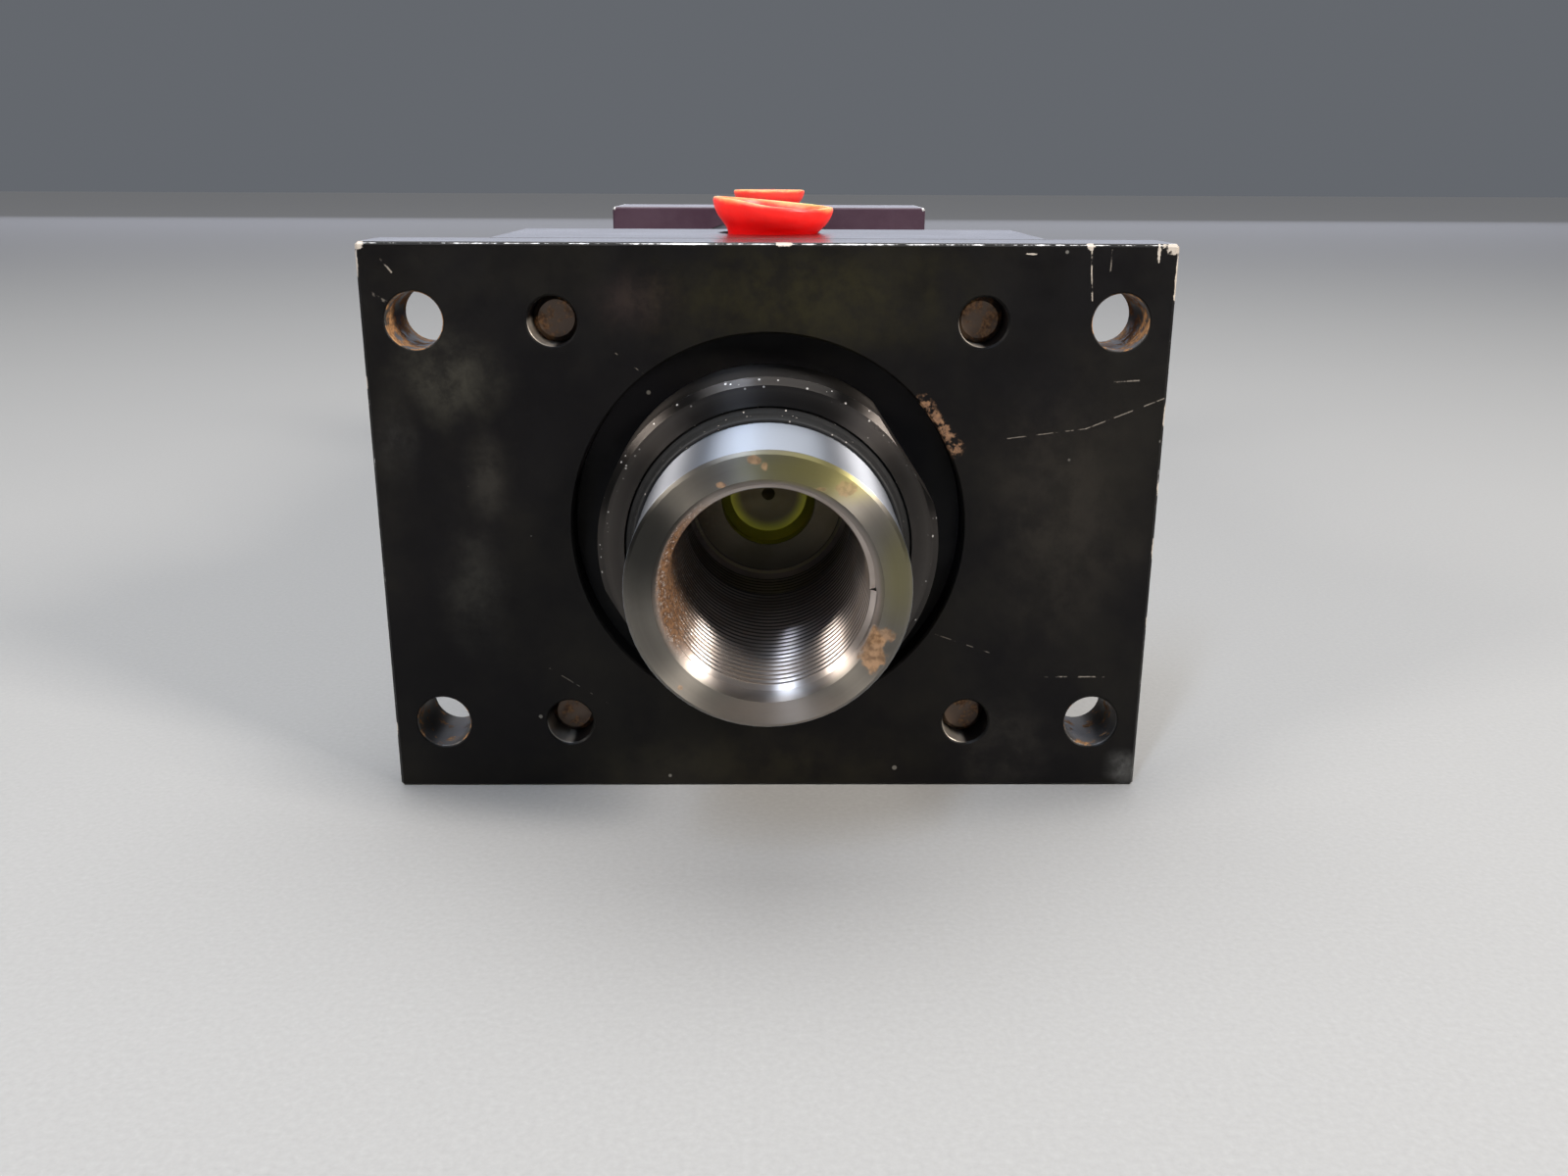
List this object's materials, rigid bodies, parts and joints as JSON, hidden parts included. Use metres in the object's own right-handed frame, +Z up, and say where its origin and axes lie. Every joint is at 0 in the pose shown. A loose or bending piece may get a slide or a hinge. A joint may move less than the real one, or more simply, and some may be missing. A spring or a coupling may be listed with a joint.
{
  "type": "tie-rod hydraulic cylinder",
  "caption": "Tie-rod hydraulic cylinder with a rectangular head flange, a screwed-in gland, a chromed rod with a threaded end, and plugged ports on top.",
  "frame": {"origin": "centre of the flange's front face, on the rod axis, where the flange bolts to a machine", "axes": "-Y along the rod, towards its threaded end; +X across the flange's long side; +Z up through the ports"},
  "size_m": [0.1588, 0.3362, 0.1222],
  "materials": {
    "black_paint": "painted black, satin, worn at the edges",
    "plated_steel": "dull, dirty, brownish steel with black paint on what shows",
    "gland_steel": "dark turned steel, nicked at its edges",
    "rod_chrome": "hard chrome outside, turned steel with rust stains on the end and in the thread",
    "black_rubber": "matte, dusty",
    "bronze": "turned",
    "piston_iron": "turned",
    "guide_resin": "fabric-filled resin",
    "red_plastic": "soft moulded plastic, slightly translucent"
  },
  "bodies": {
    "cylinder": {"flange_plate": "black_paint", "head_block": "black_paint", "cap_block": "black_paint", "barrel_tube": "black_paint", "tie_rods": "plated_steel", "tie_rod_nuts": "plated_steel", "gland_cartridge": "gland_steel", "rod_wiper": "black_rubber", "rod_seal": "black_rubber", "rod_bush": "bronze", "gland_o_ring": "black_rubber", "gland_backup_ring": "guide_resin", "head_tube_o_ring": "black_rubber", "cap_tube_o_ring": "black_rubber"},
    "piston_rings": {"piston_guide_band": "guide_resin", "piston_seal_front": "black_rubber", "piston_seal_rear": "black_rubber"},
    "rod": {"piston_rod": "rod_chrome", "piston": "piston_iron", "piston_nut": "piston_iron", "piston_o_ring": "black_rubber"},
    "front_plug": {"port_plug_front": "red_plastic"},
    "rear_plug": {"port_plug_rear": "red_plastic"}
  },
  "joints": [
    {"name": "rod_extend", "type": "slide", "parent": "cylinder", "child": "piston_rings", "axis": [0, -1, 0], "range_m": [0, 0.1397]},
    {"name": "rod_turn", "type": "hinge", "parent": "piston_rings", "child": "rod", "pos_m": [0, 0, 0], "axis": [0, -1, 0], "continuous": true},
    {"name": "front_plug_pull", "type": "slide", "parent": "cylinder", "child": "front_plug", "axis": [0.0872, 0, 0.9962], "range_m": [0, 0.03]},
    {"name": "rear_plug_pull", "type": "slide", "parent": "cylinder", "child": "rear_plug", "axis": [0, 0, 1], "range_m": [0, 0.03]}
  ]
}
